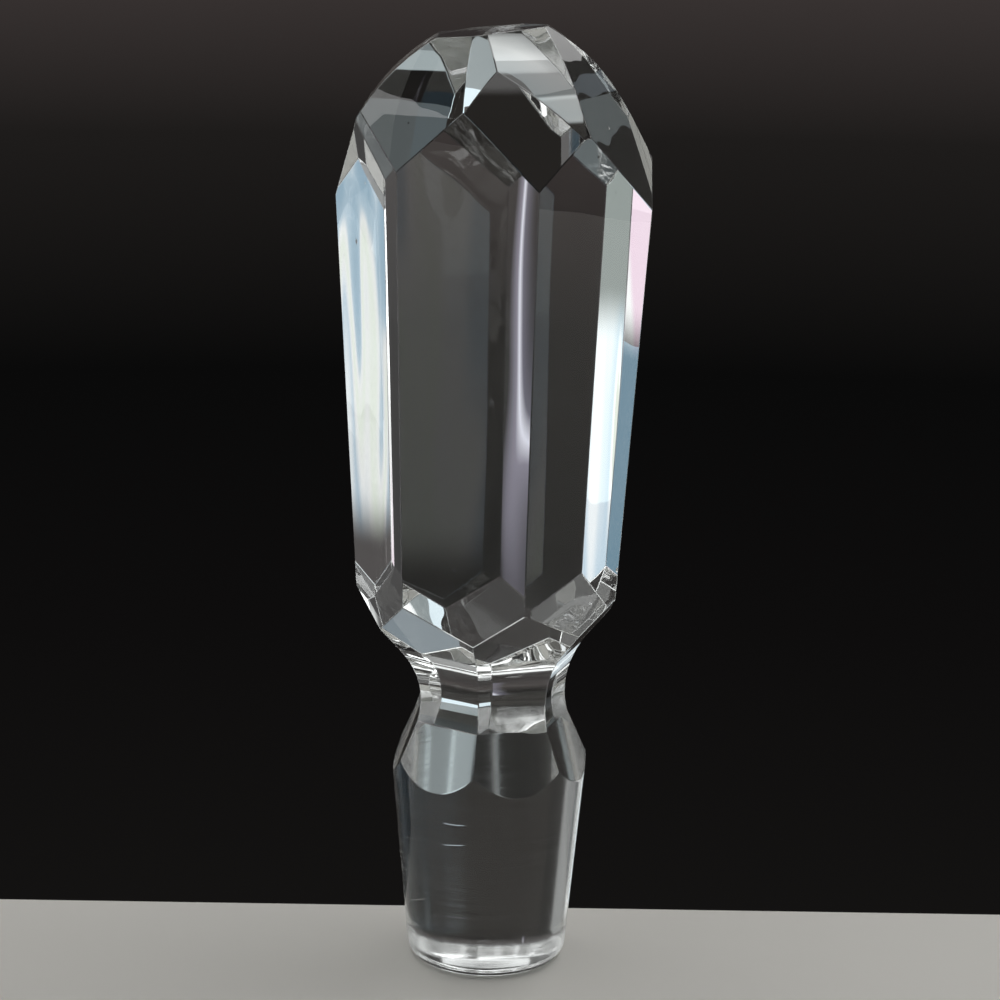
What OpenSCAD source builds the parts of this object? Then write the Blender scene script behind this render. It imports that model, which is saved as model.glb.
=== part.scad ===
// Cut-crystal decanter stopper, one solid piece of clear glass.
// A glass cutter takes everything above the plug from one round blank, in seven equal divisions:
// hollows round the neck, panels along the body, and a long facet and a roll over each corner.
// Small facets lie between the rolls, and the top is a flat. The plug below is ground to a cone.
// Frame: millimetres, +Z up, the middle of the plug's flat end at the origin. Panel 0 of the body
// faces -Y and corner 0 comes next, going round toward +X.

/* [Plug] */
// Diameter of the cone at its upper end, where the shoulder flats leave it
plug_top_d = 25.2; // [22:0.1:28]
// Diameter of the cone at its lower end, before its edge is rounded
plug_end_d = 20.3; // [16:0.1:22]
// Height of the cone
plug_h = 27.5; // [20:0.5:36]
// Radius that rounds the plug's lower edge
plug_edge_r = 2; // [0.5:0.1:4]

/* [Neck] */
// Width of the neck at its waist, twice the depth that a hollow leaves to the axis
waist_w = 17.7; // [12:0.1:20]
// Height of the waist above the plug's cone
waist_rise = 8.2; // [7:0.1:12]
// Radius of the hollow that each neck cut leaves
hollow_r = 12; // [8:0.5:20]
// Depth below the waist at which a hollow runs out into a flat of the plug's shoulder
hollow_drop = 2.8; // [1:0.1:4]
// Slope of the shoulder flats, off upright
shoulder_slope = 22.5; // [17:0.5:28]
// Slope of the flats under the body's corners, off upright
under_slope = 39; // [35:1:50]
// Turn of slope where a hollow meets the flat under the corner
under_turn = 3; // [1:0.5:8]

/* [Body] */
// Height of the whole stopper
stopper_h = 119.6; // [105:0.1:140]
// Width of the body halfway up, twice the distance from the axis to a panel
body_w = 34.3; // [30:0.1:38]
// Lean of each panel, which makes the body wider toward its top
panel_lean = 3.4; // [0:0.1:5]

/* [Dome] */
// Depth below the top at which a long facet leaves the body's corner
long_drop = 18; // [15:0.1:22]
// Slope of the long facets over the body's corners, off upright
long_slope = 26; // [20:0.5:32]
// Depth below the top at which a long facet passes into its roll
roll_drop = 10.3; // [8:0.1:13]
// Slope of a roll where it leaves the long facet, off upright
roll_slope = 28; // [26:0.5:38]
// Radius of the rolls
roll_r = 28; // [22:0.5:45]
// Depth below the top of the tip of each facet that lies between two long facets
tip_drop = 9.5; // [8:0.1:14]
// Slope of those facets at their tips, off upright
tip_slope = 31; // [28:0.5:38]
// Radius to which those facets round over toward the top
tip_r = 32; // [24:0.5:45]
// Tilt of the flat top
top_tilt = 6; // [0:0.5:10]

/* [Hand work] */
// How far the cuts stray from even ones, where 0 is an even stopper
hand_cut = 1; // [0:0.1:1]

/* [Hidden] */
sides = 7;
side_turn = 360 / sides;

// What each cut strays by, in the order of the sides: turns about the axis and slopes in degrees,
// distances in millimetres
neck_turn = hand_cut * [6, 7, 4, 0, 0, 1, 3.5];
neck_r_by = hand_cut * [0, 0, 0, 0, 0, -0.2, 0];
panel_lean_by = hand_cut * [0, 0, 0.3, 0, 0, 0, -1];
panel_out = hand_cut * [-0.1, 0.1, 0.1, 0, 0, 0, -0.4];
long_turn = hand_cut * [1.5, 7, 0, 0, 0, 0, -5.5];
long_up = hand_cut * [0.6, -2.6, -4, -1, 0, -3.8, 1.1];
long_slope_by = hand_cut * [-4, 3, -4, 0, 0, -10, 2];
roll_up = hand_cut * [0, 2.5, 0, 0, 0, 0, 0.7];
roll_slope_by = hand_cut * [-6, 1, 0, 0, 0, 3, 0];
tip_turn = hand_cut * [5, -9, 0, 0, 0, 0, 6];
tip_up = hand_cut * [0.7, -1.8, -4.5, 0, 0, 0, -0.3];
tip_slope_by = hand_cut * [6, 1, -7, 0, 0, 0, 0];
top_side = 193;

waist_z = plug_h + waist_rise;
body_z = (waist_z + stopper_h) / 2;
corner = 1 / cos(side_turn / 2);
plug_taper = (plug_top_d - plug_end_d) / 2 / plug_h;
blank_r = corner * (body_w / 2 + (stopper_h - body_z) * tan(panel_lean)) + 2;
far = 2 * stopper_h;

function panel_at(side) = side * side_turn - 90;
function corner_at(side) = panel_at(side) + side_turn / 2;
function panel_r(z, lean) = body_w / 2 + (z - body_z) * tan(lean);

// Places a cut's outline, drawn as distance from the axis along X and height along Y
module cut_round(turn) {
    rotate([90, 0, turn])
        linear_extrude(height = 4 * blank_r, center = true)
            children();
}

// The blank: the plug's cone with its rounded lower edge, and a cylinder for all the rest
module blank() {
    blend = atan(plug_taper);
    edge_x = plug_end_d / 2 - plug_edge_r * (1 / cos(blend) - plug_taper);
    over = 3;
    rotate_extrude() {
        polygon([
            [0, 0],
            [edge_x, 0],
            [edge_x + plug_edge_r * cos(blend), plug_edge_r * (1 - sin(blend))],
            [plug_top_d / 2 + over * plug_taper, plug_h + over],
            [blank_r, plug_h + over],
            [blank_r, stopper_h + over],
            [0, stopper_h + over]
        ]);
        translate([edge_x, plug_edge_r]) circle(r = plug_edge_r, $fn = 64);
    }
}

// What one neck cut takes away, which is the shape of the wheel's edge: a wedge for the flat of the
// plug's shoulder and the flat under the body's corner, blunted by the hollow's round
module neck_cut(radius) {
    meet_slope = under_slope - under_turn;
    hollow = [waist_w / 2 + radius, waist_z];
    low_end = hollow - [sqrt(radius ^ 2 - hollow_drop ^ 2), hollow_drop];
    high_end = hollow - radius * [cos(meet_slope), -sin(meet_slope)];
    point_z = (low_end[0] - high_end[0] + low_end[1] * tan(shoulder_slope)
        + high_end[1] * tan(under_slope)) / (tan(shoulder_slope) + tan(under_slope));
    point = [low_end[0] - (point_z - low_end[1]) * tan(shoulder_slope), point_z];
    blunt_low = waist_z - radius * sin(shoulder_slope);
    blunt_high = waist_z + radius * sin(under_slope);
    difference() {
        polygon([
            point,
            point + far * [tan(shoulder_slope), -1],
            point + far * [tan(under_slope), 1]
        ]);
        difference() {
            translate([0, blunt_low]) square([hollow[0], blunt_high - blunt_low]);
            translate(hollow) circle(r = radius, $fn = 96);
        }
    }
}

// What one panel cut takes away, above the waist
module panel_cut(lean, out) {
    polygon([
        [panel_r(waist_z, lean) + out, waist_z],
        [far, waist_z],
        [far, far],
        [panel_r(far, lean) + out, far]
    ]);
}

// What the cuts over one corner take away: the long facet below, then the roll up to the top
module corner_cut(up, slope, roll_by, roll_from) {
    start_z = stopper_h - long_drop + up;
    start_x = corner * panel_r(start_z, panel_lean);
    join_z = stopper_h - roll_drop + roll_by;
    join_x = start_x - (join_z - start_z) * tan(slope);
    centre = [join_x, join_z] - roll_r * [cos(roll_from), sin(roll_from)];
    polygon([
        [join_x, join_z],
        [join_x, join_z] + stopper_h * [tan(slope), -1],
        [far, join_z - stopper_h],
        [far, join_z]
    ]);
    difference() {
        translate([0, join_z]) square([far, far]);
        translate(centre) circle(r = roll_r, $fn = 192);
    }
}

// What one facet between two rolls takes away: all that is outside a cylinder lying across it
module tip_cut(up, slope) {
    tip_z = stopper_h - tip_drop + up;
    tip = [panel_r(tip_z, panel_lean), tip_z];
    centre = tip - tip_r * [cos(slope), sin(slope)];
    difference() {
        translate(centre) square([far, far]);
        translate(centre) circle(r = tip_r, $fn = 192);
    }
}

// What the flat top takes away
module top_cut() {
    rotate([0, 0, top_side])
        translate([0, 0, stopper_h]) rotate([0, top_tilt, 0])
            translate([-far / 2, -far / 2, 0]) cube([far, far, far]);
}

// The cutter's work in its order, each stage on what the last one left
module necked() {
    difference() {
        blank();
        for (side = [0 : sides - 1])
            cut_round(corner_at(side) + neck_turn[side])
                neck_cut(hollow_r * (1 + neck_r_by[side]));
    }
}

module panelled() {
    difference() {
        necked();
        for (side = [0 : sides - 1])
            cut_round(panel_at(side))
                panel_cut(panel_lean + panel_lean_by[side], panel_out[side]);
    }
}

module cornered() {
    difference() {
        panelled();
        for (side = [0 : sides - 1])
            cut_round(corner_at(side) + long_turn[side])
                corner_cut(long_up[side], long_slope + long_slope_by[side],
                    roll_up[side], roll_slope + roll_slope_by[side]);
    }
}

module stopper() {
    color("lightcyan")
        difference() {
            cornered();
            for (side = [0 : sides - 1])
                cut_round(panel_at(side) + tip_turn[side])
                    tip_cut(tip_up[side], tip_slope + tip_slope_by[side]);
            top_cut();
        }
}

stopper();
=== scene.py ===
# %% [markdown]
# # A cut-crystal decanter stopper
# A decanter stopper is one lump of lead crystal. The glass cutter holds it against a turning stone
# wheel and takes away flats and hollows, and polishes what shows. Clear glass has no colour of its
# own to paint, so nearly all of its look comes from three things: the exact facets, the thin
# rounded edges between them, and what stands around it to be bent through it.
# This lesson goes through them in that order. Every length is in metres, unless it says otherwise.

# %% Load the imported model
import math

import bmesh
import bpy
from mathutils import Matrix, Vector


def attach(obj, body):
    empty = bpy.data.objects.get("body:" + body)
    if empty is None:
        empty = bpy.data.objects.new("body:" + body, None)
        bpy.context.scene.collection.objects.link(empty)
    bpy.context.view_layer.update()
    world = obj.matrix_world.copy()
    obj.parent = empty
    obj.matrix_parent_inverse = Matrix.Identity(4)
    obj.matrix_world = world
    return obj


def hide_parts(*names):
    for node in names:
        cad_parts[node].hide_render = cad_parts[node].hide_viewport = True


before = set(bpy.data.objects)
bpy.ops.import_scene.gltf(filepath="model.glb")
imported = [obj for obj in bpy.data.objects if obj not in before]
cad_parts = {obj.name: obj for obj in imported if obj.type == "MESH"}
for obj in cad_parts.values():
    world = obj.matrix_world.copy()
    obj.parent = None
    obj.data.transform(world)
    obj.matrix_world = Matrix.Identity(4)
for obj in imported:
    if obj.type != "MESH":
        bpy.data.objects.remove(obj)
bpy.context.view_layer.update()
MM = 0.001

# %% [markdown]
# ## The crystal's surface
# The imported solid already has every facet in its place. A real edge between two polished facets
# isn't knife sharp, though: polishing wears it to a round of a tenth of a millimetre or so, and
# that thin round gathers light from a wide angle, so it shows as a bright line. The piece here is
# a copy of the solid whose edges are rounded by a bevel. The long facets must stay truly flat,
# because a bent normal would bend everything seen through them, so the normals are weighted by
# area: flats keep their own, and only the thin rounds and the hollows' strips blend.

# %% Copy the solid and join its faces into whole facets
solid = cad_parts["stopper"]
MERGE = 0.002 * MM
FLAT_ANGLE = math.radians(0.2)

shape = bmesh.new()
shape.from_mesh(solid.data)
bmesh.ops.remove_doubles(shape, verts=shape.verts, dist=MERGE)
bmesh.ops.dissolve_limit(shape, angle_limit=FLAT_ANGLE, verts=shape.verts, edges=shape.edges)
print("facets and strips:", len(shape.faces), "edges:", len(shape.edges))

# %% Choose the edges that polishing has rounded
EDGE_ROUND = 0.22 * MM
CREASE_ANGLE = math.radians(9)

weights = shape.edges.layers.float.new("bevel_weight_edge")
rounded = 0
for edge in shape.edges:
    crease = len(edge.link_faces) == 2 and edge.calc_face_angle(0) > CREASE_ANGLE
    edge[weights] = 1.0 if crease else 0.0
    rounded += crease
for face in shape.faces:
    face.smooth = True
print("rounded edges:", rounded)

# %% Mark the ground cone, which gets a finish of its own
PLUG_END_R, PLUG_TOP_R, PLUG_H, PLUG_EDGE = 10.15 * MM, 12.6 * MM, 27.5 * MM, 1.5 * MM
HEIGHT_SLACK, RADIUS_SLACK = 0.1 * MM, 0.03 * MM
GROUND = 1  # the second material; the polished crystal is the first


def off_cone(place):
    """How far a point lies from the plug's cone, or a metre if it is above or below the cone."""
    if not PLUG_EDGE < place.z < PLUG_H + HEIGHT_SLACK:
        return 1.0
    radius = PLUG_END_R + (PLUG_TOP_R - PLUG_END_R) * place.z / PLUG_H
    return abs(math.hypot(place.x, place.y) - radius)


for face in shape.faces:
    if all(off_cone(corner.co) < RADIUS_SLACK for corner in face.verts):
        face.material_index = GROUND
print("ground faces:", sum(face.material_index == GROUND for face in shape.faces))

mesh = bpy.data.meshes.new("cut_crystal")
shape.to_mesh(mesh)
shape.free()

# %% Make the piece, which stands for the solid
stopper = bpy.data.objects.new("cut_stopper", mesh)
bpy.context.scene.collection.objects.link(stopper)

bevel = stopper.modifiers.new("polished edges", "BEVEL")
bevel.limit_method = "WEIGHT"
bevel.width = EDGE_ROUND
bevel.segments = 3
bevel.use_clamp_overlap = True
flats = stopper.modifiers.new("flat facets", "WEIGHTED_NORMAL")
flats.weight = 100
flats.keep_sharp = False

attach(stopper, "root")
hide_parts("stopper")
print("piece:", stopper.name, "with edges rounded by, mm:", round(EDGE_ROUND / MM, 2))

# %% [markdown]
# ## The glass
# Full lead crystal bends light more than window glass: its IOR is about 1.545. Its body is
# colourless, so the base colour is almost white. The cut facets are acid polished, so they have
# nearly no roughness. A facet that was held to the wheel by hand is never optically flat. It has
# slow waves, long up the stopper and short across it, and they bend each bright reflection into
# soft streaks. They could be modelled, but their height is a few hundredths of a millimetre, so a
# noise in the material does it. Here and there the cutting has opened a tiny speck in the glass,
# which leaves a pit, and a second relief with rare round dimples makes those.

# %% One function to turn a hex colour to linear, and one to add a node
def linear(hex_colour):
    """An sRGB hex colour as a linear RGBA tuple."""
    parts = [int(hex_colour[i : i + 2], 16) / 255 for i in (1, 3, 5)]
    lin = [c / 12.92 if c <= 0.04045 else ((c + 0.055) / 1.055) ** 2.4 for c in parts]
    return (*lin, 1.0)


def add(tree, kind, links=(), **settings):
    """Adds a node. Settings name its properties or inputs; links are (input, socket) pairs."""
    node = tree.nodes.new(kind)
    for name, value in settings.items():
        if hasattr(node, name):
            setattr(node, name, value)
        else:
            node.inputs[name.replace("_", " ")].default_value = value
    for name, socket in links:
        tree.links.new(socket, node.inputs[name])
    return node


def new_material(name):
    """An empty material's node tree, ready for its nodes."""
    material = bpy.data.materials.new(name)
    material.use_nodes = True
    material.node_tree.nodes.clear()
    return material, material.node_tree


print("half bright, #808080, is linear:", round(linear("#808080")[0], 3))

# %% The polished crystal
CRYSTAL_IOR = 1.545
WAVE_ACROSS, WAVE_ALONG = 11 * MM, 55 * MM
WAVE_DEPTH = 0.1 * MM
WAVE_SEED = 1.0


def waves(tree):
    """The slow waves of a hand-held cut, long up the stopper and short across it."""
    place = add(tree, "ShaderNodeTexCoord")
    stretch = add(tree, "ShaderNodeVectorMath", [("Vector", place.outputs["Object"])],
                  operation="MULTIPLY")
    stretch.inputs[1].default_value = (1 / WAVE_ACROSS, 1 / WAVE_ACROSS, 1 / WAVE_ALONG)
    return add(tree, "ShaderNodeTexNoise", [("Vector", stretch.outputs["Vector"])],
               noise_dimensions="4D", W=WAVE_SEED, Scale=1.0, Detail=1.0, Roughness=0.4)


SPECK_SPACING, SPECK_SIZE, SPECK_DEPTH = 8 * MM, 0.32 * MM, 0.15 * MM


def specks(tree):
    """Rare tiny pits, where a speck in the glass has been cut open."""
    place = add(tree, "ShaderNodeTexCoord")
    cells = add(tree, "ShaderNodeTexVoronoi", [("Vector", place.outputs["Object"])],
                Scale=1 / SPECK_SPACING)
    return add(tree, "ShaderNodeMapRange", [("Value", cells.outputs["Distance"])],
               interpolation_type="SMOOTHSTEP", From_Min=0.0, From_Max=SPECK_SIZE / SPECK_SPACING)


CRYSTAL_TINT = "#f7fbfa"

crystal, tree = new_material("lead_crystal_polished")
pits = add(tree, "ShaderNodeBump", [("Height", specks(tree).outputs["Result"])],
           Strength=1.0, Distance=SPECK_DEPTH)
bump = add(tree, "ShaderNodeBump",
           [("Height", waves(tree).outputs["Fac"]), ("Normal", pits.outputs["Normal"])],
           Strength=1.0, Distance=WAVE_DEPTH)
shader = add(tree, "ShaderNodeBsdfPrincipled", [("Normal", bump.outputs["Normal"])],
             Base_Color=linear(CRYSTAL_TINT), Roughness=0.0, IOR=CRYSTAL_IOR,
             Transmission_Weight=1.0)
add(tree, "ShaderNodeOutputMaterial", [("Surface", shader.outputs["BSDF"])])
mesh.materials.append(crystal)
print("waves, mm:", round(WAVE_ACROSS / MM), "across,", round(WAVE_ALONG / MM), "along")

# %% [markdown]
# ## The ground plug
# The cone is ground into the decanter's own mouth with fine grit, turning about its axis, until
# the two fit. Here it has been polished again, so it is clear, but a very fine haze stays, with
# faint rings round it from the turning. Rings of this kind are a few hundredths of a millimetre
# apart. They are drawn ten times as coarse, because finer ones would not show. A plug that has
# gone in and out for years also has a few fine scratches. They are the level lines of a long,
# slanted noise, kept only in small patches, so short arcs are left that never meet.

# %% The ground cone's finish
RING_STEP, RING_ROUND, RING_DEPTH = 0.35 * MM, 12 * MM, 0.012 * MM
LEAST_HAZE, MOST_HAZE = 0.1, 0.22

ground, tree = new_material("lead_crystal_ground")
place = add(tree, "ShaderNodeTexCoord")
stretch = add(tree, "ShaderNodeVectorMath", [("Vector", place.outputs["Object"])],
              operation="MULTIPLY")
stretch.inputs[1].default_value = (1 / RING_ROUND, 1 / RING_ROUND, 1 / RING_STEP)
rings = add(tree, "ShaderNodeTexNoise", [("Vector", stretch.outputs["Vector"])],
            Scale=1.0, Detail=3.0, Roughness=0.6)
haze = add(tree, "ShaderNodeMapRange", [("Value", rings.outputs["Fac"])],
           From_Min=0.35, From_Max=0.75, To_Min=LEAST_HAZE, To_Max=MOST_HAZE)
print("ring step, mm:", round(RING_STEP / MM, 2), "haze as roughness:", LEAST_HAZE, "to", MOST_HAZE)

# %% The scratches on it
SCRATCH_LONG, SCRATCH_HIGH, SCRATCH_WIDE = 18 * MM, 5 * MM, 0.006
SCRATCH_DEPTH = 0.03 * MM
SCRATCH_SLANT = (0.22, 0.16, 0)
PATCH_EDGE, PATCH_FULL = 0.6, 0.66

slant = add(tree, "ShaderNodeVectorRotate", [("Vector", place.outputs["Object"])],
            rotation_type="EULER_XYZ", Rotation=SCRATCH_SLANT)
cut = add(tree, "ShaderNodeVectorMath", [("Vector", slant.outputs["Vector"])],
          operation="MULTIPLY")
cut.inputs[1].default_value = (1 / SCRATCH_LONG, 1 / SCRATCH_LONG, 1 / SCRATCH_HIGH)
level = add(tree, "ShaderNodeTexNoise", [("Vector", cut.outputs["Vector"])],
            Scale=1.0, Detail=0.0)
groove = add(tree, "ShaderNodeMapRange", [("Value", level.outputs["Fac"])],
             From_Min=0.5 - SCRATCH_WIDE, From_Max=0.5 + SCRATCH_WIDE)
line = add(tree, "ShaderNodeMath", [("Value", groove.outputs["Result"])], operation="PINGPONG")
line.inputs[1].default_value = 0.5
patches = add(tree, "ShaderNodeTexNoise", [("Vector", place.outputs["Object"])],
              Scale=1 / SCRATCH_HIGH, Detail=0.0)
kept = add(tree, "ShaderNodeMapRange", [("Value", patches.outputs["Fac"])],
           From_Min=PATCH_EDGE, From_Max=PATCH_FULL)
scratches = add(tree, "ShaderNodeMath", operation="MULTIPLY")
tree.links.new(line.outputs["Value"], scratches.inputs[0])
tree.links.new(kept.outputs["Result"], scratches.inputs[1])
scored = add(tree, "ShaderNodeBump", [("Height", scratches.outputs["Value"])],
             Strength=1.0, Distance=SCRATCH_DEPTH, invert=True)
print("scratches, mm deep at most:", round(SCRATCH_DEPTH / MM, 2))

# %% Put the ground finish together
bump = add(tree, "ShaderNodeBump",
           [("Height", rings.outputs["Fac"]), ("Normal", scored.outputs["Normal"])],
           Strength=0.6, Distance=RING_DEPTH)
shader = add(tree, "ShaderNodeBsdfPrincipled",
             [("Roughness", haze.outputs["Result"]), ("Normal", bump.outputs["Normal"])],
             Base_Color=linear(CRYSTAL_TINT), IOR=CRYSTAL_IOR, Transmission_Weight=1.0)
add(tree, "ShaderNodeOutputMaterial", [("Surface", shader.outputs["BSDF"])])
mesh.materials.append(ground)
print("materials:", [material.name for material in mesh.materials])

# %% [markdown]
# ## The camera
# The stopper is seen from a little above, from a third of a metre away, so its sides draw
# together toward the plug. The lens is a long one.

# %% Place the camera
TURN = math.radians(12.857)
DISTANCE, HEIGHT = 334.9 * MM, 140.5 * MM
PITCH, ROLL = math.radians(13.42), math.radians(0.89)
FOCAL_LENGTH, SENSOR_WIDTH = 98.03, 36.0  # Blender takes these two in millimetres
SHIFT_X, SHIFT_Y = 0.0072, 0.0016

lens = bpy.data.cameras.new("camera")
lens.sensor_width = SENSOR_WIDTH
lens.lens = FOCAL_LENGTH
lens.shift_x, lens.shift_y = SHIFT_X, SHIFT_Y
lens.clip_start, lens.clip_end = 0.01, 20
camera = bpy.data.objects.new("camera", lens)
camera.matrix_world = (
    Matrix.Translation((DISTANCE * math.sin(TURN), -DISTANCE * math.cos(TURN), HEIGHT))
    @ Matrix.Rotation(TURN, 4, "Z")
    @ Matrix.Rotation(math.pi / 2 - PITCH, 4, "X")
    @ Matrix.Rotation(ROLL, 4, "Z")
)
bpy.context.scene.collection.objects.link(camera)
bpy.context.scene.camera = camera
print("camera at, mm:", [round(v / MM) for v in camera.location])

# %% [markdown]
# ## The table and the room
# Clear glass on a wide white ground nearly vanishes, because white shows through every facet. Cut
# glass is therefore shown the dark-field way. The stopper stands near the back edge of a pale
# table, so the plug's foot still gathers light from it, and a dark room lies behind. The table is
# a board with a rolled coat of matt emulsion. It scatters light evenly, so it gives the foot a soft
# glow and no mirror image. The room is a plain sky whose greys change with height. A modelled room
# would cost time and show nothing more, because the stopper sees only how bright it is in each
# direction.

# %% The table
TABLE_EDGE = 15 * MM
TABLE_HALF, TABLE_FRONT, TABLE_THICK = 450 * MM, 450 * MM, 18 * MM
AIR_GAP = 0.05 * MM  # the hair of air that keeps glass and paint from touching optically

table = bmesh.new()
bmesh.ops.create_cube(table, size=1.0)
table_size = (2 * TABLE_HALF, TABLE_FRONT + TABLE_EDGE, TABLE_THICK)
table_middle = (0, (TABLE_EDGE - TABLE_FRONT) / 2, -TABLE_THICK / 2 - AIR_GAP)
bmesh.ops.scale(table, vec=table_size, verts=table.verts)
bmesh.ops.translate(table, vec=table_middle, verts=table.verts)
bmesh.ops.rotate(table, matrix=Matrix.Rotation(TURN, 3, "Z"), verts=table.verts)
table_mesh = bpy.data.meshes.new("pale_table")
table.to_mesh(table_mesh)
table.free()
pale_table = bpy.data.objects.new("pale_table", table_mesh)
bpy.context.scene.collection.objects.link(pale_table)

paint, tree = new_material("matt_pale_paint")
shader = add(tree, "ShaderNodeBsdfPrincipled", Base_Color=linear("#d2d0ca"), Roughness=0.8)
add(tree, "ShaderNodeOutputMaterial", [("Surface", shader.outputs["BSDF"])])
table_mesh.materials.append(paint)
print("table, mm:", [round(side / MM) for side in table_size])

# %% The dark room
# Heights are sines of the angle above eye level. The walls are darkest a little below it, where
# the panels look through to them, and a warm dark grey from there up.
LOWEST, HIGHEST = -0.45, 0.25
FOOT_GREY, TOP_GREY = "#171615", "#2c2a2a"
WALL_GREYS = ((0.25, "#0e0d0d"), (0.38, "#0a0a0a"), (0.5, "#1e1c1b"), (0.6, "#3e3837"),
              (0.75, "#363232"))  # each with its place from the lowest height to the highest

room = bpy.data.worlds.new("dark_room")
bpy.context.scene.world = room
room.use_nodes = True
tree = room.node_tree
tree.nodes.clear()
place = add(tree, "ShaderNodeTexCoord")
up = add(tree, "ShaderNodeSeparateXYZ", [("Vector", place.outputs["Generated"])])
height = add(tree, "ShaderNodeMapRange", [("Value", up.outputs["Z"])],
             From_Min=LOWEST, From_Max=HIGHEST)
walls = add(tree, "ShaderNodeValToRGB", [("Fac", height.outputs["Result"])])
walls.color_ramp.elements[0].color = linear(FOOT_GREY)
walls.color_ramp.elements[1].color = linear(TOP_GREY)
for where, colour in WALL_GREYS:
    walls.color_ramp.elements.new(where).color = linear(colour)
background = add(tree, "ShaderNodeBackground", [("Color", walls.outputs["Color"])], Strength=1.0)
add(tree, "ShaderNodeOutputWorld", [("Surface", background.outputs["Background"])])
print("wall greys:", 2 + len(WALL_GREYS))

# %% [markdown]
# ## The soft boxes
# Each facet turns the light of one small part of the room toward the eye. So the room is lit by
# many soft boxes out of view, and each is there for the facets that look its way. A box is given
# by the part of the view that it fills, as the stopper sees it, and by how bright its cloth is.
# Most cloths are plain. A few change from side to side: a curtain with folds, a veil, a tube in a
# sleeve, a sheer that thins out, and a skylight with a dimmer middle. Their slight tints stand in
# for the rainbow that lead crystal makes, which this renderer doesn't. The dimmest boxes give the
# darker facets their grey without lightening the room, because a lamp isn't seen directly.

# %% One function to hang a cloth, and one to set up a box
AIM = Vector((0, 0, 70 * MM))  # about the middle of the body
FAR = 1.2
HEM = 0.12  # the share of a cloth's height over which it dies away, at top and at foot


def hang_cloth(lamp, cloth):
    """Gives a soft box a cloth whose colour changes across it and dies away at top and foot."""
    lamp.use_nodes = True
    tree = lamp.node_tree
    tree.nodes.clear()
    spot = add(tree, "ShaderNodeNewGeometry")
    across = add(tree, "ShaderNodeSeparateXYZ", [("Vector", spot.outputs["Parametric"])])
    ramp = add(tree, "ShaderNodeValToRGB", [("Fac", across.outputs["X"])])
    stops = ramp.color_ramp.elements
    while len(stops) < len(cloth):
        stops.new(0.5)
    for stop, (position, colour) in zip(stops, cloth):
        stop.position, stop.color = position, linear(colour)
    foot = add(tree, "ShaderNodeMapRange", [("Value", across.outputs["Y"])],
               interpolation_type="SMOOTHSTEP", From_Min=0.0, From_Max=HEM)
    top = add(tree, "ShaderNodeMapRange", [("Value", across.outputs["Y"])],
              interpolation_type="SMOOTHSTEP", From_Min=1.0, From_Max=1 - HEM)
    hems = add(tree, "ShaderNodeMath", operation="MULTIPLY")
    tree.links.new(foot.outputs["Result"], hems.inputs[0])
    tree.links.new(top.outputs["Result"], hems.inputs[1])
    glow = add(tree, "ShaderNodeEmission",
               [("Color", ramp.outputs["Color"]), ("Strength", hems.outputs["Value"])])
    add(tree, "ShaderNodeOutputLight", [("Surface", glow.outputs["Emission"])])


def softbox(name, azimuth, elevation, wide, tall, glow, cloth="#ffffff"):
    """A soft box seen from the stopper in a direction, with the angles that it fills there.

    Azimuth 0 is the camera's side and 90 is to its right. Glow is the cloth's radiance. The
    cloth is one colour, or several with their places across it, from 0 to 1.
    """
    round_it, above = math.radians(azimuth) + TURN, math.radians(elevation)
    lamp = bpy.data.lights.new(name, "AREA")
    lamp.shape = "RECTANGLE"
    lamp.size = 2 * FAR * math.tan(math.radians(wide) / 2)
    lamp.size_y = 2 * FAR * math.tan(math.radians(tall) / 2)
    lamp.energy = glow * math.pi * lamp.size * lamp.size_y
    if isinstance(cloth, str):
        lamp.color = linear(cloth)[:3]
    else:
        hang_cloth(lamp, cloth)
    level = math.cos(above)
    back = Vector((math.sin(round_it) * level, -math.cos(round_it) * level, math.sin(above)))
    box = bpy.data.objects.new(name, lamp)
    box.location = AIM + back * FAR
    box.rotation_mode = "QUATERNION"
    box.rotation_quaternion = back.to_track_quat("Z", "Y")
    bpy.context.scene.collection.objects.link(box)


# %% The cloths that change from side to side
CURTAIN = ((0.4, "#8fb2ca"), (0.47, "#9fbfd4"), (0.49, "#b9d1e2"), (0.503, "#ffffff"),
           (0.525, "#f4fbee"), (0.545, "#ffffff"), (0.575, "#b9cfe0"), (0.64, "#f0f4f8"))
VEIL = ((0.1, "#ffffff"), (0.165, "#ffffff"), (0.18, "#f2d8e8"), (0.3, "#f4e4ee"))
TUBE = ((0, "#000000"), (0.35, "#6d6a78"), (0.5, "#f4f2ff"), (0.62, "#8f8a99"), (1, "#000000"))
SHEER = ((0, "#0a0a0a"), (0.3, "#6f7274"), (0.6, "#ffffff"), (1, "#e6f2f6"))
SKYLIGHT = ((0.3, "#ffffff"), (0.44, "#7c7c7c"), (0.6, "#7c7c7c"), (0.74, "#ffffff"))
print("stops in the curtain:", len(CURTAIN))

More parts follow.
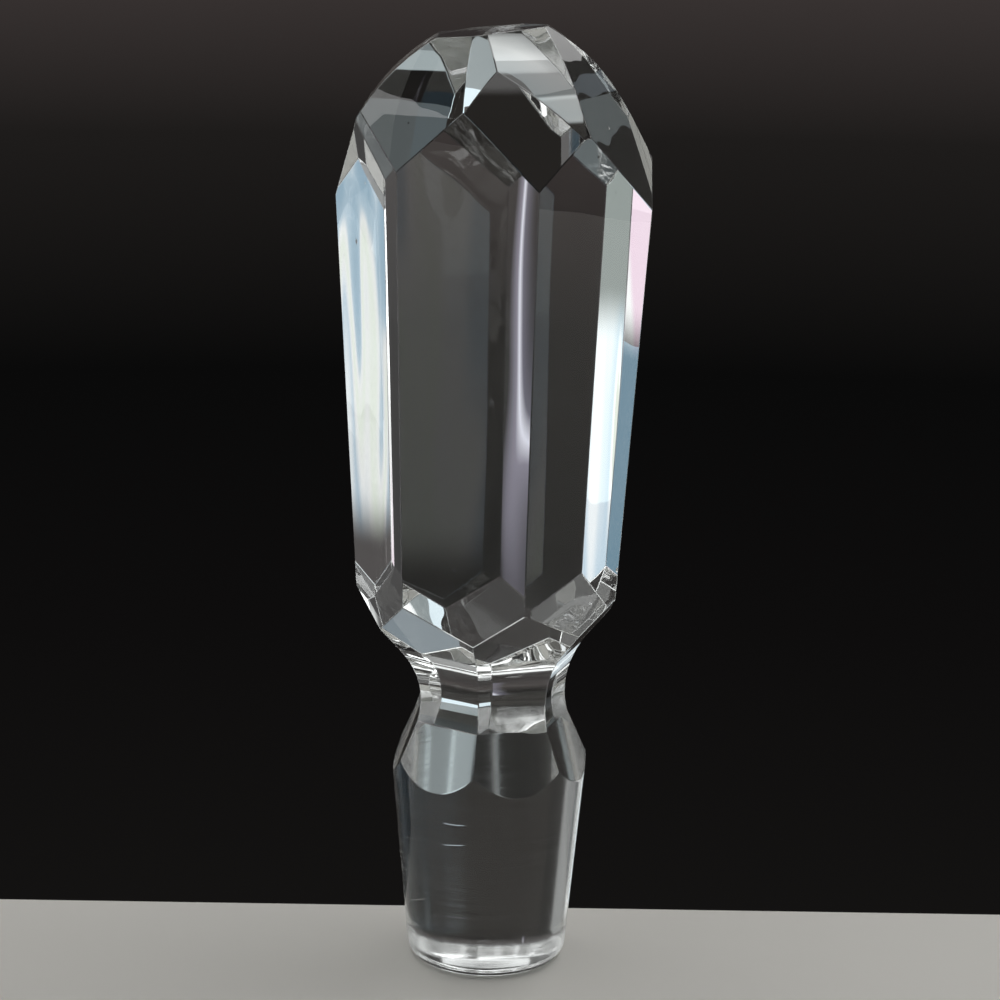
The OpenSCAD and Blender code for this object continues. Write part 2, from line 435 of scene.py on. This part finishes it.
# %% Set the boxes up
# Each has its azimuth, elevation, width and height in degrees, its glow and, if it isn't plain
# white, its cloth.
BOXES = {
    "overhead": (0, 89, 60, 60, 1.6, SKYLIGHT),
    "front_window": (24, 5, 25, 14, 0.98, CURTAIN),
    "right_window": (50, 16, 50, 30, 0.1),
    "right_strip": (31, 14, 12, 16, 0.3, "#dfeee8"),
    "left_window": (-68, 8, 22, 14, 1.1, VEIL),
    "left_window_foot": (-68, -4, 22, 11, 0.5, "#8fbcd6"),
    "left_wide": (-62, 18, 60, 26, 0.12),
    "left_far": (-85, 12, 14, 10, 2.5),
    "back_left_low": (-128, -13, 16, 20, 0.3),
    "back_left_side": (-108, -20, 14, 26, 1.2),
    "back_left_tube": (-160.7, -5, 1.3, 17, 0.9, TUBE),
    "back_left_high": (-144, 38, 70, 12, 1.6),
    "back_left_top": (-144, 24, 20, 12, 0.12),
    "back_right_high": (120, 42, 70, 20, 2.5),
    "back_right_mid": (149.5, 15.2, 3, 3, 0.35, "#d4e4f0"),
    "back_right_side": (116, 8, 20, 20, 0.4),
    "back_right_foot": (143, -34, 30, 9, 0.28, "#e6f2f6"),
    "back_right_slot": (163.5, -24.5, 10, 6, 1.1, "#e6f4fc"),
    "back_right_deep": (164, -34, 9, 13, 0.38, "#e6f2f6"),
    "back_dim": (180, -19.5, 60, 12, 0.014, "#fff0e4"),
    "back_left_dome": (-175.3, -38.5, 4.6, 11, 0.46, SHEER),
    "back_left_dome_mid": (-175.3, -31, 3.4, 6.4, 0.2, SHEER),
    "back_left_dome_low": (-175, -26.6, 4, 4.6, 0.42, SHEER),
    "back_right_dome": (143, -31.6, 5, 4.5, 0.24, "#e6f2f6"),
    "back_right_dome_low": (144, -20.5, 5, 5.5, 0.11, "#e6f2f6"),
    "back_left_rim": (-137, -26.8, 9, 4.6, 0.12, "#e6f2f6"),
    "back_left_neck": (-116, -41, 14, 10, 0.28, "#e6f2f6"),
    "back_top": (180, 23, 50, 7, 1.0),
    "under": (183, -40, 20, 8, 0.28),
}
for name, settings in BOXES.items():
    softbox(name, *settings)
print("soft boxes:", len(BOXES))

# %% [markdown]
# ## Light through the glass
# Inside cut glass a ray is thrown from facet to facet many times before it comes out. With too few
# bounces it would end in the glass and leave black patches, so many are allowed. The plain
# Standard view keeps the lightest streaks crisp.

# %% How far light is followed
MOST_BOUNCES, GLASS_BOUNCES = 32, 24
scene = bpy.context.scene
scene.view_settings.view_transform = "Standard"
scene.cycles.max_bounces = MOST_BOUNCES
scene.cycles.transmission_bounces = GLASS_BOUNCES
scene.cycles.glossy_bounces = GLASS_BOUNCES
print("bounces:", MOST_BOUNCES, "in all,", GLASS_BOUNCES, "through glass")
